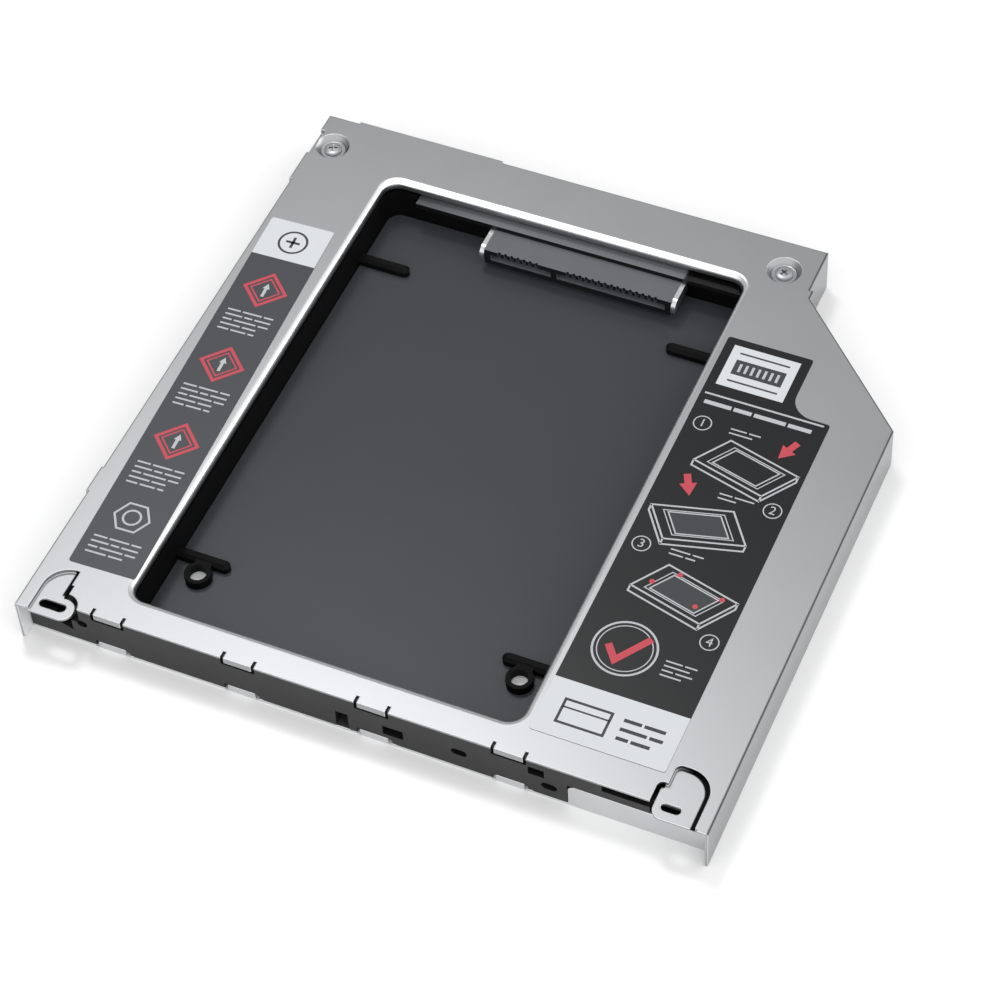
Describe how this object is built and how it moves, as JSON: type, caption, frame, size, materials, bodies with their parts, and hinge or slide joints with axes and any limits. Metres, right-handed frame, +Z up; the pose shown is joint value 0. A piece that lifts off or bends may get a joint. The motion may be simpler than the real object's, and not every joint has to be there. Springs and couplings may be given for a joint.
{
  "type": "laptop drive caddy",
  "caption": "Flat aluminium and black plastic tray that holds a 2.5 inch drive in a laptop's 9.5 mm optical drive bay, with an open window, screw ears and a cut rear corner.",
  "frame": {"origin": "middle of the outer rectangle, on the underside that the caddy lies on", "axes": "+Z up through the window; +Y from the front bar towards the laptop's plug; +X to the right, towards the cut corner's side"},
  "size_m": [0.1284, 0.1288, 0.0095],
  "materials": {
    "cover_sheet": "fine sandblasted satin sheet",
    "base_sheet": "plain satin sheet",
    "frame_plastic": "black moulded plastic, fine grain",
    "insulating_film": "dark half-gloss film",
    "board": "black solder mask",
    "socket_plastic": "black glass-filled plastic",
    "plug_plastic": "black glass-filled plastic",
    "contacts": "thin gold plating",
    "lug_metal": "tinned steel",
    "capacitors": "fired ceramic",
    "screws": "nickel plated steel",
    "left_print": "printed film, dark panel and silver end",
    "right_print": "printed film, dark panels and silver end"
  },
  "bodies": {
    "root": {"top_cover": "cover_sheet", "bottom_cover": "base_sheet", "inner_frame": "frame_plastic", "bay_film": "insulating_film", "adapter_board": "board", "board_capacitors": "capacitors", "drive_socket": "socket_plastic", "socket_signal_contacts": "contacts", "socket_power_contacts": "contacts", "socket_lug_left": "lug_metal", "socket_lug_right": "lug_metal", "slim_plug": "plug_plastic", "plug_signal_contacts": "contacts", "plug_power_contacts": "contacts", "left_label": "left_print", "right_label": "right_print", "rear_screw_left": "screws", "rear_screw_right": "screws", "board_screw_left": "screws", "board_screw_right": "screws", "bottom_screw_front_left": "screws", "bottom_screw_front_right": "screws", "bottom_screw_rear_left": "screws", "bottom_screw_rear_right": "screws"}
  },
  "joints": []
}
